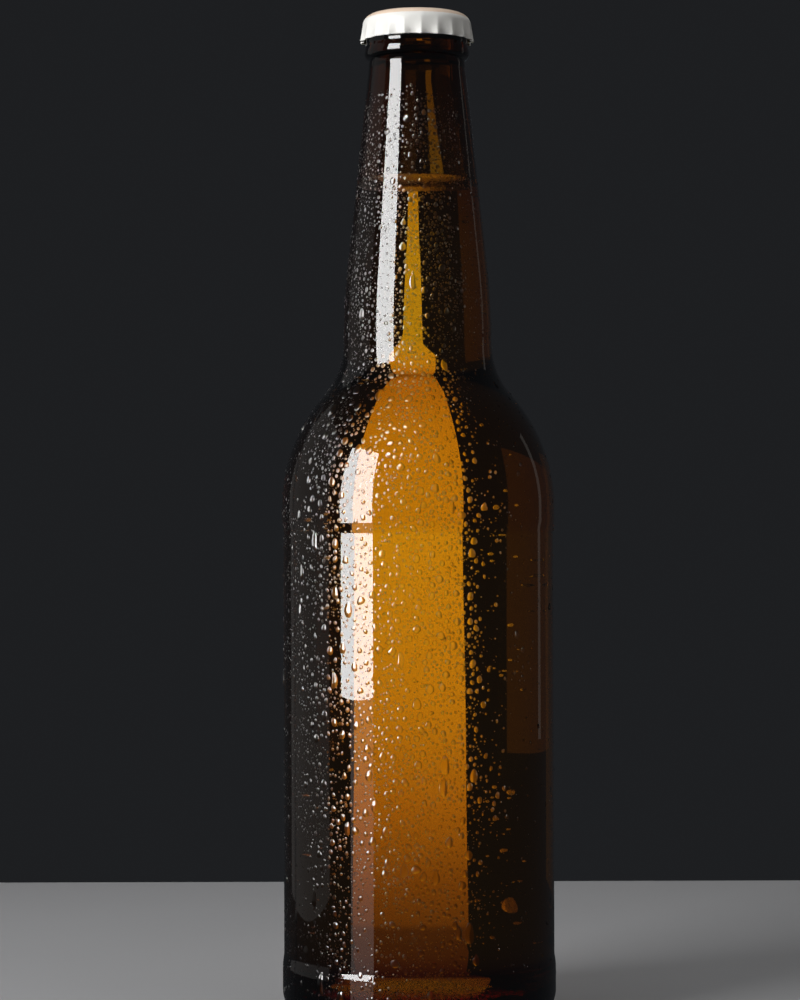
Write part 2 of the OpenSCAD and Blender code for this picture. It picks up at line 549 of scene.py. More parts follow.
def soft_step(start: Sequence[float], end: Sequence[float], count: int = 12) -> Outline:
    """Points along a soft S-shaped step from one point to another."""
    share = np.linspace(0, 1, count)
    eased = share * share * (3 - 2 * share)
    return np.column_stack([start[0] + (end[0] - start[0]) * eased, start[1] + (end[1] - start[1]) * share])


def dome(edge_radius: float, edge_height: float, rise: float) -> Outline:
    """A flat dome from its top on the axis down to its edge."""
    radius = (edge_radius**2 + rise**2) / (2 * rise)
    end = math.degrees(math.asin((radius - rise) / radius))
    return arc((0, edge_height + rise - radius), radius, 90, end, abs(90 - end) / 12)


def touch_angle(centre: tuple[float, float], radius: float, point: Sequence[float]) -> float:
    """Angle in degrees at which a line from a point above a circle touches it."""
    dx, dy = point[0] - centre[0], point[1] - centre[1]
    return math.degrees(math.atan2(dy, dx) - math.acos(radius / math.hypot(dx, dy)))


def fade(value: np.ndarray, start: float, length: float) -> np.ndarray:
    """Rises from 0 at a start to 1 over a length; with a negative length it falls to 0 at the start."""
    return np.clip((value - start) / length, 0, 1)


def join(*parts: Iterable) -> Outline:
    """Joins outlines and drops points that repeat the one before."""
    points = np.vstack([np.atleast_2d(np.array(part, float)) for part in parts])
    keep = np.ones(len(points), bool)
    keep[1:] = np.linalg.norm(np.diff(points, axis=0), axis=1) > 1e-6
    return points[keep]


def refine(outline: Outline, pitch: float) -> Outline:
    """Adds points to an outline's long straight stretches."""
    parts = [outline[:1]]
    parts += [line(a, b, pitch) for a, b in zip(outline[:-1], outline[1:])]
    return join(*parts)


def new_mesh(
    name: str, points: np.ndarray, faces: Sequence, material: bpy.types.Material
) -> bpy.types.Object:
    """Makes a smooth mesh object.

    Args:
        name: the object's name.
        points: its vertices in millimetres.
        faces: its faces.
        material: its material.

    Returns:
        The object, linked to the scene.
    """
    mesh = bpy.data.meshes.new(name)
    mesh.from_pydata((np.asarray(points) * MM).tolist(), [], faces)
    mesh.materials.append(material)
    mesh.polygons.foreach_set("use_smooth", np.ones(len(mesh.polygons), bool))
    mesh.update()
    made = bpy.data.objects.new(name, mesh)
    bpy.context.scene.collection.objects.link(made)
    return made


def mark_faces(piece: bpy.types.Object, attribute: str, marked: np.ndarray) -> None:
    """Writes a value of 0 or 1 for each face.

    Args:
        piece: the mesh object.
        attribute: the attribute's name.
        marked: one truth value for each face.
    """
    data = piece.data.attributes.new(attribute, "FLOAT", "FACE")
    data.data.foreach_set("value", np.asarray(marked, np.float32))


@dataclass
class Lathe:
    """A turned solid: an outline from the axis back to the axis, swept round it."""

    outline: Outline
    columns: np.ndarray
    swell: Callable[[np.ndarray, np.ndarray], np.ndarray] | None = None

    def points(self) -> np.ndarray:
        """Every vertex: the rows between the outline's ends, then the two ends on the axis."""
        rows = self.outline[1:-1]
        radius = np.repeat(rows[:, :1], len(self.columns), axis=1)
        height = np.repeat(rows[:, 1:], len(self.columns), axis=1)
        if self.swell is not None:
            radius = radius + self.swell(np.arange(1, len(self.outline) - 1)[:, None], self.columns[None, :])
        angle = np.radians(self.columns)[None, :]
        ring = np.stack([radius * np.sin(angle), -radius * np.cos(angle), height], axis=-1)
        ends = [[0, 0, self.outline[0][1]], [0, 0, self.outline[-1][1]]]
        return np.vstack([ring.reshape(-1, 3), ends])

    def faces(self) -> tuple[list, np.ndarray]:
        """The faces, and for each one the outline's stretch that it lies on."""
        count, rows = len(self.columns), len(self.outline) - 2
        here = np.arange(count)
        after = (here + 1) % count
        faces, stretch = [], []
        first, last = rows * count, rows * count + 1
        faces += [(first, b, a) for a, b in zip(here, after)]
        stretch += [0] * count
        for k in range(rows - 1):
            low, high = k * count, (k + 1) * count
            faces += [(low + a, low + b, high + b, high + a) for a, b in zip(here, after)]
            stretch += [k + 1] * count
        top = (rows - 1) * count
        faces += [(last, top + a, top + b) for a, b in zip(here, after)]
        stretch += [rows] * count
        return faces, np.array(stretch)

    def build(self, name: str, material: bpy.types.Material) -> tuple[bpy.types.Object, np.ndarray]:
        """Makes the mesh.

        Args:
            name: the piece's name.
            material: its material.

        Returns:
            The object, and for each face the outline's stretch that it lies on.
        """
        faces, stretch = self.faces()
        faces = [tuple(int(i) for i in face) for face in faces]
        return new_mesh(name, self.points(), faces, material), stretch


def seat(piece: bpy.types.Object, slot: str, *nodes: str) -> bpy.types.Object:
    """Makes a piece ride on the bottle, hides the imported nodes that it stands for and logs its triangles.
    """
    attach(piece, BODY)
    if nodes:
        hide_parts(*nodes)
    triangles = sum(len(face.vertices) - 2 for face in piece.data.polygons)
    LOG.info("%s: %d triangles", piece.name, triangles)
    return piece


# ---------------------------------------------------------------- glass


@dataclass
class GlassBottle:
    """The bottle: its outline inside and out, its mould seams and its knurled standing ring."""

    height: float
    body_radius: float
    body_height: float = 128.0
    shoulder_radius: float = 42.0
    neck_fillet_radius: float = 20.0
    neck_radius: float = 18.6
    belly_radius: float = 180.0
    heel_radius: float = 7.0
    standing_width: float = 2.4
    push_up: float = 3.6
    panel_depth: float = 0.35
    heel_band: float = 6.0
    shoulder_band: float = 3.2
    panel_slope: float = 3.6
    wall: float = 2.45
    base_thickness: float = 5.6
    floor_rise: float = 2.6
    floor_corner: float = 9.0
    bore_radius: float = 8.3
    bore_length: float = 15.0
    lock_radius: float = 13.3
    lock_drop: float = 5.6
    lock_edge: float = 1.6
    lock_round: float = 0.55
    waist_setback: float = 0.55
    waist_height: float = 1.5
    bead_setback: float = 0.1
    bead_height: float = 3.5
    neck_setback: float = 1.3
    lip_setback: float = 0.8
    lip_outer: float = 1.5
    lip_inner: float = 1.0
    columns: int = 288
    panel_pitch: float = 3.0
    neck_pitch: float = 2.5
    wall_pitch: float = 5.0
    seam_angle: float = -64.0
    seam_height: float = 0.07
    seam_half_width: float = 0.22
    knurls: int = 72
    knurl_depth: float = 0.10
    wave: float = 0.07
    waves: tuple[tuple[float, int, float, float], ...] = (
        (1.0, 2, 0.021, 0.6),
        (0.6, 3, -0.034, 2.1),
        (0.35, 5, 0.052, 4.0),
        (0.22, 9, -0.085, 0.0),
    )  # share, lobes, twist per millimetre and phase of each

    def __post_init__(self) -> None:
        """Works out the centres of the shoulder's and the neck's arcs."""
        self.shoulder_centre = (self.body_radius - self.shoulder_radius, self.body_height)
        fillet_x = self.neck_radius + self.neck_fillet_radius
        reach = self.shoulder_radius + self.neck_fillet_radius
        rise = math.sqrt(reach**2 - (fillet_x - self.shoulder_centre[0]) ** 2)
        self.fillet_centre = (fillet_x, self.body_height + rise)
        self.turn = math.degrees(math.atan2(rise, fillet_x - self.shoulder_centre[0]))
        self.belly_centre = (self.neck_radius - self.belly_radius, self.fillet_centre[1])
        self.lock_height = self.height - self.lock_drop
        self.bead_low = self.lock_height - self.waist_height - self.bead_height

    def base(self) -> Outline:
        """The underside: the push-up, the standing ring and the heel."""
        out = self.body_radius - self.heel_radius
        return join(
            dome(out - self.standing_width, 0.0, self.push_up),
            arc((out, self.heel_radius), self.heel_radius, -90, 0, 6),
        )

    def panel(self) -> Outline:
        """The body's side with its shallow label panel."""
        low = self.heel_radius + self.heel_band
        high = self.body_height - self.shoulder_band
        sunk = self.body_radius - self.panel_depth
        return join(
            soft_step((self.body_radius, low), (sunk, low + self.panel_slope)),
            soft_step((sunk, high - self.panel_slope), (self.body_radius, high)),
        )

    def shoulder(self, inset: float = 0.0) -> Outline:
        """The round shoulder and the hollow curve into the neck, set in by a thickness."""
        return join(
            arc(self.shoulder_centre, self.shoulder_radius - inset, 0, self.turn, 1.6),
            arc(self.fillet_centre, self.neck_fillet_radius + inset, 180 + self.turn, 180, 2.4),
        )

    def neck(self, inset: float, top: Sequence[float]) -> Outline:
        """The long neck up to a point, set in by a thickness."""
        radius = self.belly_radius - inset
        end = touch_angle(self.belly_centre, radius, top)
        return join(arc(self.belly_centre, radius, 0, end, 0.8), top)

    def finish_rings(self) -> Outline:
        """The bead, the waist, the locking ring and the lip, up to the bore."""
        bead = self.lock_radius - self.bead_setback
        bead_round = self.neck_setback
        side = self.bead_height - bead_round
        side_in = self.waist_setback - self.bead_setback
        side_radius = (side**2 + side_in**2) / (2 * side_in)
        lip = self.lock_radius - self.lip_setback
        lip_middle = (self.bore_radius + self.lip_inner, self.height - self.lip_inner)
        lock_low = self.lock_height + self.lock_round
        side_end = math.degrees(math.asin(side / side_radius))
        return join(
            arc((bead - bead_round, self.bead_low + bead_round), bead_round, -90, 0, 9),
            arc((bead - side_radius, self.bead_low + bead_round), side_radius, 0, side_end, 4),
            (self.lock_radius - self.waist_setback, self.lock_height),
            arc((self.lock_radius - self.lock_round, lock_low), self.lock_round, -90, 0, 15),
            (self.lock_radius, lock_low + self.lock_edge),
            arc((lip - self.lip_outer, self.height - self.lip_outer), self.lip_outer, 0, 90, 10),
            arc(lip_middle, self.lip_inner, 90, 180, 15),
        )

    def outer(self) -> Outline:
        """The outside, from the underside's centre to the neck's top."""
        neck_top = (self.lock_radius - self.bead_setback - self.neck_setback, self.bead_low)
        neck = refine(self.neck(0.0, neck_top), self.neck_pitch)
        return join(self.base(), refine(self.panel(), self.panel_pitch), self.shoulder(), neck)

    def inner(self) -> Outline:
        """The inside, from the floor's centre to the bore's lower end."""
        radius = self.body_radius - self.wall
        corner = radius - self.floor_corner
        bore_end = (self.bore_radius, self.height - self.bore_length)
        wall_foot = (radius, self.base_thickness + self.floor_corner)
        return join(
            dome(corner, self.base_thickness, self.floor_rise),
            arc((corner, self.base_thickness + self.floor_corner), self.floor_corner, -90, 0, 6),
            line(wall_foot, (radius, self.body_height), self.wall_pitch),
            self.shoulder(self.wall),
            refine(self.neck(self.wall, bore_end), self.neck_pitch),
        )

    def unevenness(self, angle: np.ndarray, height: np.ndarray) -> np.ndarray:
        """How far the blown inside stands off its true radius.

        Args:
            angle: directions round the bottle in degrees.
            height: heights in millimetres.

        Returns:
            The offset in millimetres.
        """
        turn = np.radians(angle)
        waves = sum(
            share * np.sin(lobes * turn + twist * height + phase) for share, lobes, twist, phase in self.waves
        )
        ends = fade(height, 12, 10) * fade(height, self.height - self.bore_length, -25)
        return self.wave * waves * ends

    def column_angles(self) -> np.ndarray:
        """Directions of the mesh's columns, with extra ones across both mould seams."""
        even = np.arange(self.columns) * (360 / self.columns) - 180
        half = math.degrees(self.seam_half_width / self.body_radius)
        shares = (-2, -1, -0.5, 0, 0.5, 1, 2)
        seams = [self.seam_angle + turn + share * half for turn in (0, 180) for share in shares]
        near = np.min(np.abs(even[:, None] - np.array(seams)[None, :]), axis=1)
        return np.sort(np.concatenate([even[near > 0.25 * half], seams]))

    def relief(self, outline: Outline, outer_end: int) -> Callable[[np.ndarray, np.ndarray], np.ndarray]:
        """The unevenness of the turned surface.

        Args:
            outline: the whole outline.
            outer_end: the number of its points that belong to the outside, up to the bead.

        Returns:
            A function of the outline's point number and of the direction.
        """

        def swell(index: np.ndarray, angle: np.ndarray) -> np.ndarray:
            """Offset of the radius at a point of the outline and in a direction."""
            radius, height = outline[index, 0], outline[index, 1]
            outside = index < outer_end
            off = (angle - self.seam_angle + 90) % 180 - 90
            across = np.radians(off) * radius / self.seam_half_width
            on_side = outside & (height > 0.5)
            seam = self.seam_height * np.exp(-(across**2)) * on_side
            on_ring = outside & (height < 0.6) & (radius > self.body_radius - self.heel_radius)
            knurl = -self.knurl_depth * (1 + np.cos(np.radians(angle) * self.knurls)) / 2 * on_ring
            blown = self.unevenness(angle, height) * (index >= outer_end)
            below_bore = height < self.height - self.bore_length
            inside = np.broadcast_to(index >= outer_end, seam.shape) & below_bore
            return seam + knurl + np.where(inside, blown, 0.0)

        return swell

    def build(self, material: bpy.types.Material, wet_height: float) -> bpy.types.Object:
        """Makes the glass.

        Args:
            material: its finish.
            wet_height: the height up to which beer wets the inside.

        Returns:
            The piece.
        """
        outer, inner = self.outer(), with_height(self.inner(), wet_height)
        outline = join(outer, self.finish_rings(), inner[::-1])
        lathe = Lathe(outline, self.column_angles(), self.relief(outline, len(outer)))
        piece, stretch = lathe.build("glass_bottle_skin", material)
        middle = (outline[stretch, 1] + outline[np.minimum(stretch + 1, len(outline) - 1), 1]) / 2
        wetted = (stretch >= len(outline) - len(inner)) & (middle < wet_height)
        mark_faces(piece, WETTED, wetted)
        return seat(piece, "amber_glass", "glass_bottle")


def with_height(outline: Outline, height: float) -> Outline:
    """An outline with one more point where it passes a height on its way up."""
    k = int(np.argmax(outline[:, 1] > height))
    low, high = outline[k - 1], outline[k]
    share = (height - low[1]) / (high[1] - low[1])
    return join(outline[:k], low + (high - low) * share, outline[k:])


# ---------------------------------------------------------------- beer


@dataclass
class Beer:
    """The beer: the inside up to its level, reaching just into the wall, with a wetted edge."""

    glass: GlassBottle
    edge: float
    edge_height: float = 3.2
    edge_slope: float = 75.0
    reach: float = 0.22
    columns: int = 240

    def __post_init__(self) -> None:
        """Works out the level from the edge that the beer wets."""
        self.level = self.edge - self.edge_height

    def side(self) -> Outline:
        """The glass's inside up to the wetted edge."""
        inner = with_height(self.glass.inner(), self.edge)
        return inner[inner[:, 1] <= self.edge + 1e-6]

    def surface(self, edge_radius: float) -> Outline:
        """The free surface, from the wall down its curved edge to the axis."""
        slope = math.radians(self.edge_slope)
        radius = (self.edge - self.level) / (1 - math.cos(slope))
        flat = edge_radius - radius * math.sin(slope)
        curve = arc((flat, self.level + radius), radius, self.edge_slope - 90, -90, 5)
        return join(curve, line((flat, self.level), (0, self.level), 2.0))

    def build(self, material: bpy.types.Material) -> bpy.types.Object:
        """Makes the beer.

        Args:
            material: its finish.

        Returns:
            The piece.
        """
        side = self.side()
        step = np.gradient(side, axis=0)
        out = np.column_stack([step[:, 1], -step[:, 0]])
        out /= np.linalg.norm(out, axis=1)[:, None]
        out[0] = (0, -1)
        grown = side + out * self.reach
        grown[0, 0] = 0
        outline = join(grown, self.surface(side[-1, 0]))
        count = len(grown)

        def swell(index: np.ndarray, angle: np.ndarray) -> np.ndarray:
            """The same unevenness as the wall that holds the beer."""
            held = index <= count
            return np.where(held, self.glass.unevenness(angle, outline[index, 1]), 0.0)

        lathe = Lathe(outline, np.arange(self.columns) * (360 / self.columns) - 180, swell)
        piece, stretch = lathe.build("beer_fill", material)
        mark_faces(piece, WETTED, stretch < count)
        return seat(piece, "beer", "beer")


# ---------------------------------------------------------------- cap and liner


@dataclass
class CrownCap:
    """The crown cap: one steel disc drawn down into a fluted skirt."""

    top: float
    rim: float
    ridge_radius: float
    lock_radius: float
    flutes: int = 21
    steel: float = 0.24
    shoulder_round: float = 3.0
    bend: float = 78.0
    gap: float = 0.08
    arch: float = 0.35
    tuck: float = 0.24
    tuck_start: float = 0.75
    crest_round: float = 0.05
    crest_power: float = 0.4
    rim_round: float = 0.6
    flute_sides: int = 16
    flat_start: float = 0.6
    flat_rings: int = 5
    bend_rings: int = 12
    skirt_rings: int = 14
    field_drop: float = 1.35

    def __post_init__(self) -> None:
        """Works out where the flat top ends and the skirt starts."""
        self.hollow = self.lock_radius + self.gap + self.steel
        self.flat = self.hollow - self.shoulder_round * math.sin(math.radians(self.bend))
        self.arc_height = self.top - self.shoulder_round
        self.skirt_top = self.arc_height + self.shoulder_round * math.cos(math.radians(self.bend))

    def ridge(self, angle: np.ndarray) -> np.ndarray:
        """How far a direction lies on a flute's ridge: 1 on it, 0 in the hollow."""
        off = (np.sin(self.flutes * angle / 2) ** 2 + self.crest_round**2) ** self.crest_power
        return 1.0 - off + self.crest_round ** (2 * self.crest_power)

    def skirt(self, share: float, angle: np.ndarray, inset: float) -> np.ndarray:
        """Skirt points at a share of its depth, set in by a thickness, as radius and height."""
        on = self.ridge(angle)
        hollow = self.hollow - self.tuck * max(0.0, (share - self.tuck_start) / (1 - self.tuck_start))
        ridge = self.hollow + (self.ridge_radius - self.hollow) * share
        foot = self.rim + self.arch * (1 - on)
        height = self.skirt_top + (foot - self.skirt_top) * share
        return np.column_stack([hollow * (1 - on) + ridge * on - inset, height])

    def side(self, inset: float, angle: np.ndarray) -> list[np.ndarray]:
        """Rings from the top's middle down to the rim, set in by a thickness."""
        one = np.ones(len(angle))
        rings = [
            np.column_stack([one * radius, one * (self.top - inset)])
            for radius in np.linspace(self.flat_start, 1.0, self.flat_rings) * self.flat
        ]
        for bend in np.linspace(0, self.bend, self.bend_rings + 1)[1:]:
            turn = math.radians(bend)
            radius = self.flat + (self.shoulder_round - inset) * math.sin(turn)
            height = self.arc_height + (self.shoulder_round - inset) * math.cos(turn)
            rings.append(np.column_stack([one * radius, one * height]))
        rings += [self.skirt(share, angle, inset) for share in np.linspace(0, 1, self.skirt_rings + 1)[1:]]
        return rings

    def build(self, finish: CrownEnamel) -> bpy.types.Object:
        """Makes the cap.

        Args:
            finish: its finish.

        Returns:
            The piece.
        """
        count = self.flutes * self.flute_sides
        angle = np.arange(count) * (2 * math.pi / count)
        outer, inner = self.side(0.0, angle), self.side(self.steel, angle)[::-1]
        rim_middle = (outer[-1] + inner[0]) / 2 - (0, 0.5 * self.steel * self.rim_round)
        rings = outer + [rim_middle] + inner
        turned = [np.column_stack([p[:, 0] * np.cos(angle), p[:, 0] * np.sin(angle), p[:, 1]]) for p in rings]
        points = np.vstack([*turned, [[0, 0, self.top], [0, 0, self.top - self.steel]]])
        here, after = np.arange(count), (np.arange(count) + 1) % count
        first, last = len(rings) * count, len(rings) * count + 1
        faces = [(first, int(a), int(b)) for a, b in zip(here, after)]
        for k in range(len(rings) - 1):
            low, high = k * count, (k + 1) * count
            faces += [(int(low + a), int(high + a), int(high + b), int(low + b)) for a, b in zip(here, after)]
        tail = (len(rings) - 1) * count
        faces += [(last, int(tail + b), int(tail + a)) for a, b in zip(here, after)]
        material = finish.material(self.top, self.field_drop, self.rim, INSIDE)
        piece = new_mesh("crown_cap_shell", points, faces, material)
        between = np.repeat(np.arange(len(rings) - 1), count)
        ring_of = np.concatenate([[0] * count, between, [len(rings)] * count])
        mark_faces(piece, INSIDE, ring_of > len(outer))
        return seat(piece, "crown_enamel", "crown_cap")


# ---------------------------------------------------------------- condensation


class Wetness(Enum):
    """Kinds of drops.

    Each holds its piece's name, the least and greatest radius in millimetres, the number of sides, its
    rings as shares of the radius, how uneven its outline is, the number of tries and the most drops.
    """

    RUNS = ("condensation_runs", 0.75, 1.25, 20, (0.22, 0.45, 0.66, 0.83, 0.95, 1.0), 0.12, 900, 46)
    LARGE = ("condensation_large", 0.60, 1.10, 14, (0.32, 0.6, 0.82, 1.0), 0.3, 11000, 620)
    MEDIUM = ("condensation_medium", 0.38, 0.60, 10, (0.45, 0.8, 1.0), 0.3, 40000, 2500)
    SMALL = ("condensation_small", 0.27, 0.38, 8, (0.6, 1.0), 0.3, 60000, 6200)
    FINE = ("condensation_fine", 0.19, 0.27, 7, (0.6, 1.0), 0.3, 70000, 7100)
    MIST = ("condensation_mist", 0.13, 0.19, 6, (1.0,), 0.3, 90000, 9000)

    def __init__(self, label: str, low: float, high: float, sides: int, rings: tuple, *rest: float) -> None:
        """Names the kind's values."""
        self.label, self.low, self.high, self.sides, self.rings = label, low, high, sides, rings
        self.uneven, self.tries, self.most = rest


@dataclass
class DropField:
    """Where drops lie: their places along the outline and round the bottle, and their shapes."""

    along: np.ndarray
    angle: np.ndarray
    radius: np.ndarray
    stretch: np.ndarray
    sag: np.ndarray
    contact: np.ndarray
    bend: np.ndarray


@dataclass
class Condensation:
    """Water drops on the outside of the glass, as closed caps whose feet lie just inside it."""

    glass: GlassBottle
    seed: int = 20
    low: float = 4.0
    high: float = 233.0
    sink: float = 0.03
    clearance: float = 1.12
    cell: float = 2.6
    size_power: float = 2.2
    longer: float = 0.16
    round_below: float = 0.3
    contact: tuple[float, float] = (20, 42)
    sag_from: float = 0.25
    sag_gain: float = 0.5
    sag_most: float = 0.35
    narrowing: float = 0.55
    foot_depth: float = 1.6
    dome_power: int = 3
    run_stretch: tuple[float, float] = (1.3, 2.6)
    run_bend: tuple[float, float] = (-0.12, 0.12)
    run_sag: tuple[float, float] = (0.3, 0.45)
    cells: dict[tuple[int, int, int], list[tuple[np.ndarray, float]]] = field(default_factory=dict)

    def __post_init__(self) -> None:
        """Measures the outside's outline along its length."""
        outer = self.glass.outer()
        outer = outer[int(np.argmax(outer[:, 0] > self.glass.body_radius - self.glass.heel_radius)) :]
        step = np.linalg.norm(np.diff(outer, axis=0), axis=1)
        self.outer = outer
        self.length = np.concatenate([[0.0], np.cumsum(step)])
        slope = np.gradient(outer, self.length, axis=0)
        self.out_r, self.out_z = slope[:, 1], -slope[:, 0]
        self.random = np.random.default_rng(self.seed)

    def at(self, along: np.ndarray) -> tuple[np.ndarray, ...]:
        """Radius, height and outward direction at lengths along the outline."""
        values = (self.outer[:, 0], self.outer[:, 1], self.out_r, self.out_z)
        return tuple(np.interp(along, self.length, value) for value in values)

    def density(self, kind: Wetness, angle: np.ndarray, height: np.ndarray) -> np.ndarray:
        """Share of tries that are kept at a place.

        Args:
            kind: the kind of drop.
            angle: directions in degrees, 0 at the front.
            height: heights in millimetres.

        Returns:
            Values from 0 to 1.
        """
        turn = (angle + 180) % 360 - 180
        neck = fade(height, 150, 20)
        back = fade(np.abs(turn), 146, 8)
        far_left = fade(turn, -40, -20) * (1 - back)
        right = fade(turn, 19, 9) * fade(turn, 100, -15)
        front = np.exp(-(((turn + 12) / 58) ** 4))
        centre = np.exp(-(((turn + 10) / 42) ** 4))
        wet = 0.34 + 0.66 * front
        wet = wet * (1 - 0.88 * right * (1 - 0.6 * neck))
        wet = wet * (1 - 0.55 * fade(np.abs(turn), 95, 20))
        wet = wet * (1 - 0.8 * back)
        wet = wet * fade(height, self.high, -6) * fade(height, 1, 6)
        wet = wet * self.patches(turn, height)
        low_body = np.clip((height - 14) / 40, 0.45, 1)
        if kind is Wetness.LARGE:
            body = np.clip((height - 30) / 25, 0.2, 1)
            return wet * body * (1 - 0.9 * neck) * (0.25 + 0.75 * centre) * (1 - back) * (1 - 0.7 * far_left)
        if kind is Wetness.MEDIUM:
            return wet * low_body * (1 - 0.25 * neck) * (0.4 + 0.6 * centre) * (1 - 0.7 * far_left)
        if kind is Wetness.SMALL:
            return wet * low_body * (0.7 + 0.3 * neck)
        if kind in (Wetness.FINE, Wetness.MIST):
            return wet * (0.55 + 0.45 * neck)
        return wet * (1 - 0.8 * neck)

    @staticmethod
    def patches(turn: np.ndarray, height: np.ndarray) -> np.ndarray:
        """Broad wetter and drier patches over the glass, from 0.24 to 1."""
        return 0.62 + 0.38 * np.sin(turn * 0.11 + height * 0.13) * np.sin(turn * 0.05 - height * 0.071 + 1.3)

    def clear(self, point: np.ndarray, radius: float) -> bool:
        """True if a drop of that radius would stand clear of those placed before."""
        x, y, z = point
        base = np.floor(point / self.cell).astype(int)
        for dx, dy, dz in product((-1, 0, 1), repeat=3):
            for other, size in self.cells.get((base[0] + dx, base[1] + dy, base[2] + dz), ()):
                gap = (radius + size) * self.clearance
                if (x - other[0]) ** 2 + (y - other[1]) ** 2 + (z - other[2]) ** 2 < gap * gap:
                    return False
        return True

    def keep(self, point: np.ndarray, radius: float) -> None:
        """Remembers a placed drop."""
        key = tuple(np.floor(point / self.cell).astype(int))
        self.cells.setdefault(key, []).append((point, radius))

    def scatter(self, kind: Wetness) -> DropField:
        """Throws drops of one kind at the glass and keeps those that land clear.

        Args:
            kind: the kind of drop.

        Returns:
            The drops that were kept.
        """
        rnd = self.random
        along = rnd.uniform(0, self.length[-1], kind.tries)
        angle = rnd.uniform(-180, 180, kind.tries)
        size = kind.low + (kind.high - kind.low) * rnd.uniform(0, 1, kind.tries) ** self.size_power
        stretch = 1 + np.abs(rnd.normal(0, self.longer, kind.tries)) * (size > self.round_below)
        radius, height, _, _ = self.at(along)
        chance = self.density(kind, angle, height) * radius / self.glass.body_radius
        chosen = rnd.uniform(0, 1, kind.tries) < chance
        turn = np.radians(angle)
        places = np.column_stack([radius * np.sin(turn), -radius * np.cos(turn), height])
        kept = []
        for i in np.nonzero(chosen)[0]:
            reach = size[i] * (1 + 0.5 * (stretch[i] - 1))
            if self.clear(places[i], reach):
                self.keep(places[i], reach)
                kept.append(i)
                if len(kept) >= kind.most:
                    break
        kept = np.array(kept)
        contact = np.radians(rnd.uniform(*self.contact, len(kept)))
        sag = np.clip((size[kept] - self.sag_from) * self.sag_gain, 0, self.sag_most)
        straight = np.zeros(len(kept))
        return DropField(along[kept], angle[kept], size[kept], stretch[kept], sag, contact, straight)

    def caps(self, drops: DropField, kind: Wetness) -> tuple[np.ndarray, list, np.ndarray]:
        """Vertices, faces and underside marks of every drop of a field.

        Args:
            drops: the drops.
            kind: their kind.

        Returns:
            The vertices, the faces and one mark for each face.
        """
        rnd = self.random
        count, sides, rings = len(drops.along), kind.sides, kind.rings
        phi = np.arange(sides) * (2 * math.pi / sides) + rnd.uniform(0, 2 * math.pi, (count, 1))
        lobes = 1.0 + sum(
            rnd.uniform(0.0, kind.uneven / order, (count, 1))
            * np.cos(order * phi + rnd.uniform(0, 2 * math.pi, (count, 1)))
            for order in (2, 3, 4)
        )
        radius, sag, bend, stretch = (
            values[:, None] for values in (drops.radius, drops.sag, drops.bend, drops.stretch)
        )
        levels = []
        for share in (0.0, *rings):
            spread = share * lobes if share else np.zeros_like(lobes[:, :1])
            across = spread * np.cos(phi if share else phi[:, :1])
            up = spread * np.sin(phi if share else phi[:, :1])
            across = across * (1 - self.narrowing * sag * up)
            lift = self.cap_lift(share, drops.contact) * (1 - sag * up)
            sideways = across * radius + bend * (up * stretch) ** 2 * radius
            levels.append(self.place(drops, sideways, up * radius * stretch, lift * radius - self.sink))
        middle = np.zeros((count, 1))
        foot = self.place(drops, middle, middle, np.full((count, 1), -self.sink * self.foot_depth))
        points = np.concatenate([*levels, foot], axis=1)
        per_drop = points.shape[1]
        here, after = np.arange(sides), (np.arange(sides) + 1) % sides
        one = [(0, 1 + a, 1 + b) for a, b in zip(here, after)]
        for k in range(len(rings) - 1):
            low, high = 1 + k * sides, 1 + (k + 1) * sides
            one += [(low + a, high + a, high + b) for a, b in zip(here, after)]
            one += [(low + a, high + b, low + b) for a, b in zip(here, after)]
        edge = 1 + (len(rings) - 1) * sides
        under = [(per_drop - 1, edge + b, edge + a) for a, b in zip(here, after)]
        template = np.array(one + under)
        faces = (template[None] + (np.arange(count) * per_drop)[:, None, None]).reshape(-1, 3)
        marks = np.tile(np.arange(len(template)) >= len(one), count)
        return points.reshape(-1, 3), faces.tolist(), marks

    def cap_lift(self, share: float, contact: np.ndarray) -> np.ndarray:
        """Height of a flat-topped dome at a share of its foot's radius, in shares of that radius.

        Args:
            share: 0 at the middle, 1 at the edge.
            contact: the angle at which each dome meets the glass, in radians.

        Returns:
            The heights, one row for each cap.
        """
        return (np.tan(contact) / self.dome_power * (1 - share**self.dome_power))[:, None]

    def place(self, drops: DropField, across: np.ndarray, up: np.ndarray, lift: np.ndarray) -> np.ndarray:
        """Points at offsets from each drop's middle.

        Args:
            drops: the drops.
            across: offsets round the bottle in millimetres.
            up: offsets up the glass.
            lift: heights above the glass.

        Returns:
            The points, by drop.
        """
        radius, height, out_r, out_z = self.at(drops.along[:, None] + up)
        turn = np.radians(drops.angle)[:, None] + across / radius
        reach = radius + lift * out_r
        return np.stack([reach * np.sin(turn), -reach * np.cos(turn), height + lift * out_z], axis=-1)

    def build(self, material: bpy.types.Material) -> list[bpy.types.Object]:
        """Makes one piece of each kind of drop, the largest first.

        Args:
            material: the water's finish.

        Returns:
            The pieces.
        """
        pieces = []
        for kind in Wetness:
            drops = self.scatter(kind)
            if kind is Wetness.RUNS:
                drops.stretch = self.random.uniform(*self.run_stretch, len(drops.along))
                drops.bend = self.random.uniform(*self.run_bend, len(drops.along))
                drops.sag = self.random.uniform(*self.run_sag, len(drops.along))
            points, faces, marks = self.caps(drops, kind)
            piece = new_mesh(kind.label, points, faces, material)
            mark_faces(piece, UNDERSIDE, marks)
            piece.data.polygons.foreach_set("use_smooth", ~marks)
            LOG.info("%s: %d drops", kind.label, len(drops.along))
            pieces.append(seat(piece, "condensation"))
        return pieces


# ---------------------------------------------------------------- studio


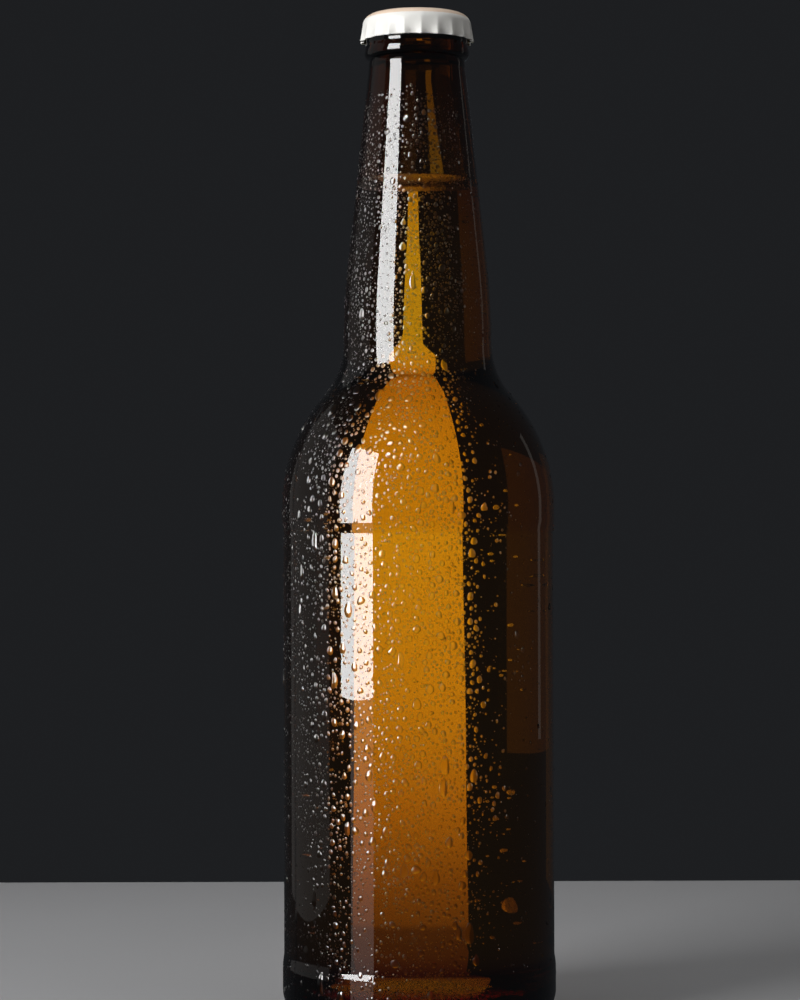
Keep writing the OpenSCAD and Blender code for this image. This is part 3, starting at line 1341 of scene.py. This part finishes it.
@dataclass(frozen=True)
class Panel:
    """An upright soft panel light that faces the bottle.

    Its azimuth is positive to the right, its height gives its lower and upper edges, and seen_in names the
    kinds of ray that meet it.
    """

    name: str
    azimuth: float
    distance: float
    height: tuple[float, float]
    width: float
    radiance: float
    colour: Colour = WHITE
    seen_in: tuple[str, ...] = RAY_KINDS

    def build(self) -> bpy.types.Object:
        """Makes the light."""
        low, high = self.height
        light = bpy.data.lights.new(self.name, "AREA")
        light.shape = "RECTANGLE"
        light.size = self.width * MM
        light.size_y = (high - low) * MM
        light.energy = self.radiance * math.pi * light.size * light.size_y
        light.color = self.colour
        turn = math.radians(self.azimuth)
        across, towards = math.sin(turn) * self.distance, -math.cos(turn) * self.distance
        spot = Vector((across, towards, (low + high) / 2)) * MM
        lamp = hang(light, spot, self.seen_in)
        lamp.rotation_euler = Vector((-spot.x, -spot.y, 0)).to_track_quat("-Z", "Y").to_euler()
        return lamp


@dataclass(frozen=True)
class Overhead:
    """A square panel light that lies level over the bottle."""

    name: str
    height: float
    size: float
    radiance: float
    seen_in: tuple[str, ...]

    def build(self) -> bpy.types.Object:
        """Makes the light."""
        light = bpy.data.lights.new(self.name, "AREA")
        light.size = self.size * MM
        light.energy = self.radiance * math.pi * light.size**2
        return hang(light, Vector((0, 0, self.height)) * MM, self.seen_in)


def hang(light: bpy.types.AreaLight, spot: Vector, seen_in: Sequence[str]) -> bpy.types.Object:
    """Puts a light in the scene, out of the camera's own sight.

    Args:
        light: the light.
        spot: its place in metres.
        seen_in: the kinds of ray that meet it.

    Returns:
        The light's object.
    """
    lamp = bpy.data.objects.new(light.name, light)
    lamp.location = spot
    lamp.visible_camera = False
    for kind in RAY_KINDS:
        setattr(lamp, f"visible_{kind}", kind in seen_in)
    bpy.context.scene.collection.objects.link(lamp)
    return lamp


@dataclass(frozen=True)
class GlowCard:
    """A bottle-shaped card behind the bottle that lights the beer from the back.

    Its right and left edges are points across from its centre line and up. Its glow is its colour by height.
    """

    back: float = 155.0
    centre: float = 4.0
    foot: float = -60.0
    top: float = 275.0
    strength: float = 1.4
    right: tuple[tuple[float, float], ...] = (
        (19.5, foot),
        (18.4, 0.5),
        (16.6, 100.0),
        (16.7, 124.0),
        (18.2, 149.0),
        (11.2, 172.0),
        (7.4, 179.0),
        (5.2, 200.0),
        (4.5, 222.0),
        (18.5, 228.0),
        (18.5, top),
    )
    left: tuple[tuple[float, float], ...] = (
        (9.0, top),
        (9.0, 228.0),
        (-3.3, 222.0),
        (-4.0, 200.0),
        (-6.2, 179.0),
        (-6.7, 172.0),
        (-15.0, 150.0),
        (-15.6, 100.0),
        (-17.4, 0.5),
        (-18.4, foot),
    )
    glow: tuple[tuple[float, Colour], ...] = (
        (foot, (0.05, 0.028, 0.02)),
        (0.0, (0.09, 0.05, 0.035)),
        (0.6, (0.17, 0.10, 0.07)),
        (13.0, (0.27, 0.16, 0.11)),
        (37.0, (0.56, 0.375, 0.28)),
        (68.0, (0.83, 0.67, 0.56)),
        (117.0, (0.97, 0.89, 0.8)),
        (150.0, (0.95, 0.93, 0.8)),
        (180.0, (0.84, 0.96, 0.7)),
        (222.0, (0.84, 0.96, 0.7)),
        (227.0, (0.24, 0.29, 0.32)),
    )

    def material(self) -> bpy.types.Material:
        """Makes the glowing material."""
        shader = Shader(bpy.data.materials.new("glow_card"))
        height = shader.part(shader.position(), "Z")
        span = {"Value": height, "From Min": self.foot * MM, "From Max": self.top * MM}
        share = shader.node("ShaderNodeMapRange", inputs=span)
        stops = [((z - self.foot) / (self.top - self.foot), colour) for z, colour in self.glow]
        colour = shader.node("ShaderNodeValToRGB", {"stops": stops}, {"Fac": share})
        lit = shader.node("ShaderNodeEmission", inputs={"Color": colour, "Strength": self.strength})
        return shader.finish(lit)

    def build(self) -> bpy.types.Object:
        """Makes the card, which is met only through glass."""
        points = np.array([(self.centre + x, self.back, z) for x, z in self.right + self.left])
        card = new_mesh("glow_card", points, [tuple(range(len(points)))], self.material())
        card.visible_camera = False
        card.visible_diffuse = False
        card.visible_shadow = False
        return card


KEY = {"azimuth": -52.4, "distance": 600.0, "height": (40.0, 550.0), "width": 313.0}
AMBER_GLOW = {"distance": 650.0, "height": (0.0, 420.0), "width": 480.0, "radiance": 0.3}
PAINT_ONLY, MIRROR_ONLY, GLASS_ONLY = ((kind,) for kind in RAY_KINDS)

LAMPS = (
    Panel("key_softbox", **KEY, radiance=4.45, seen_in=MIRROR_ONLY),
    Panel("key_on_paint", **KEY, radiance=9.8, seen_in=PAINT_ONLY),
    Panel("key_through_glass", **KEY, radiance=8.0, seen_in=GLASS_ONLY),
    Panel("left_fill", -108.0, 650.0, (-70.0, 620.0), 700.0, 0.054, (1.0, 0.97, 0.94)),
    Panel("low_left_fill", -48.0, 640.0, (-190.0, 38.0), 230.0, 0.25, (1.0, 0.8, 0.75), MIRROR_ONLY),
    Panel("right_edge", 121.0, 600.0, (20.0, 420.0), 46.0, 0.07, (1.0, 0.93, 0.85)),
    Panel("right_on_paint", 40.0, 700.0, (60.0, 420.0), 420.0, 0.22, (1.0, 0.86, 0.72), PAINT_ONLY),
    Panel("back_left_glow", -147.0, 600.0, (10.0, 420.0), 320.0, 0.045, (1.0, 0.68, 0.4), GLASS_ONLY),
    Panel("amber_glow_25", 25.0, **AMBER_GLOW, seen_in=GLASS_ONLY),
    Panel("amber_glow_92", 92.0, **AMBER_GLOW, seen_in=GLASS_ONLY),
)

# The key's twin stands just in front of it: lamps at one place hide each other from mirror rays.
SPARKLES = (
    Panel("key_sparkle", -52.4, 590.0, (44.0, 543.0), 308.0, 6.5, seen_in=MIRROR_ONLY),
    Panel("left_sparkle", -108.0, 600.0, (60.0, 520.0), 240.0, 4.8, seen_in=MIRROR_ONLY),
    Panel("upper_sparkle", -30.0, 560.0, (560.0, 860.0), 300.0, 15.0, seen_in=MIRROR_ONLY),
    Panel("right_sparkle", 72.0, 600.0, (60.0, 520.0), 60.0, 3.0, seen_in=MIRROR_ONLY),
)


@dataclass
class Studio:
    """Table, lights, the glow card behind the bottle, and the camera.

    The drops are the group of pieces that the sparkle lamps light.
    """

    table_back: float = 245.0
    table_front: float = 420.0
    table_half_width: float = 760.0
    table_thickness: float = 24.0
    table_edge: float = 3.0
    camera_distance: float = 690.0
    camera_height: float = 129.7
    camera_side: float = -4.55
    camera_roll: float = 0.16
    lens: float = 98.7
    sensor_width: float = 36.0
    backdrop: Colour = (0.0125, 0.0133, 0.0148)
    bounces: int = 32
    glossy_bounces: int = 10
    drops: bpy.types.Collection = field(default_factory=lambda: bpy.data.collections.new("drops"))

    def table(self) -> bpy.types.Object:
        """Makes the tabletop: a slab with rounded edges, which rays through glass or off it don't meet."""
        width, back, front = self.table_half_width, self.table_back, self.table_front
        low = -self.table_thickness
        corners = [(-width, -front), (width, -front), (width, back), (-width, back)]
        points = [(x, y, z) for z in (low, 0.0) for x, y in corners]
        faces = [(3, 2, 1, 0), (4, 5, 6, 7), (0, 1, 5, 4), (1, 2, 6, 5), (2, 3, 7, 6), (3, 0, 4, 7)]
        slab = new_mesh("table", np.array(points), faces, PaleTable().material())
        slab.data.polygons.foreach_set("use_smooth", np.zeros(len(slab.data.polygons), bool))
        bevel = slab.modifiers.new("edge", "BEVEL")
        bevel.width = self.table_edge * MM
        bevel.segments = 4
        slab.visible_transmission = False
        slab.visible_glossy = False
        return slab

    def world(self) -> None:
        """Makes the plain dark backdrop."""
        world = bpy.data.worlds.new("backdrop")
        world.use_nodes = True
        background = world.node_tree.nodes["Background"]
        background.inputs["Color"].default_value = (*self.backdrop, 1.0)
        bpy.context.scene.world = world

    def camera(self) -> None:
        """Sets up the level camera in front of the bottle."""
        data = bpy.data.cameras.new("camera")
        data.lens = self.lens
        data.sensor_width = self.sensor_width
        data.clip_start = 0.01
        data.clip_end = 50.0
        camera = bpy.data.objects.new("camera", data)
        camera.location = Vector((self.camera_side, -self.camera_distance, self.camera_height)) * MM
        camera.rotation_euler = (math.radians(90), math.radians(self.camera_roll), 0)
        bpy.context.scene.collection.objects.link(camera)
        bpy.context.scene.camera = camera

    def rendering(self) -> None:
        """Lets light pass through every layer of water, glass and beer."""
        scene = bpy.context.scene
        scene.view_settings.view_transform = "Standard"
        scene.cycles.max_bounces = self.bounces
        scene.cycles.transmission_bounces = self.bounces
        scene.cycles.glossy_bounces = self.glossy_bounces
        scene.cycles.caustics_reflective = False
        scene.cycles.caustics_refractive = False

    def build(self) -> None:
        """Builds the whole studio."""
        self.world()
        self.camera()
        self.rendering()
        self.table()
        GlowCard().build()
        for lamp in LAMPS:
            lamp.build()
        for sparkle in SPARKLES:
            sparkle.build().light_linking.receiver_collection = self.drops
        Overhead("top_on_paint", 560.0, 520.0, 1.35, PAINT_ONLY).build()
        LOG.info("studio built")


def main() -> None:
    """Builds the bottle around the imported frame."""
    logging.basicConfig(level=logging.INFO, format="%(message)s")
    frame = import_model()
    glass_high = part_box("glass_bottle")[1] / MM
    beer_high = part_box("beer")[1] / MM
    cap_low, cap_high = (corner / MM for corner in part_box("crown_cap"))

    studio = Studio()
    studio.build()
    glass = GlassBottle(height=glass_high.z, body_radius=glass_high.x)
    glass.build(AmberGlass().material(), wet_height=beer_high.z)
    Beer(glass, edge=beer_high.z).build(GoldenBeer().material())
    cap = CrownCap(top=cap_high.z, rim=cap_low.z, ridge_radius=cap_high.x, lock_radius=glass.lock_radius)
    cap.build(CrownEnamel())
    liner = frame["nodes"]["cap_liner"]
    liner.data.materials.clear()
    liner.data.materials.append(LinerPlastic().material())
    for piece in Condensation(glass).build(Water().material()):
        studio.drops.objects.link(piece)

    LOG.info("boxes written")


if __name__ == "__main__":
    main()
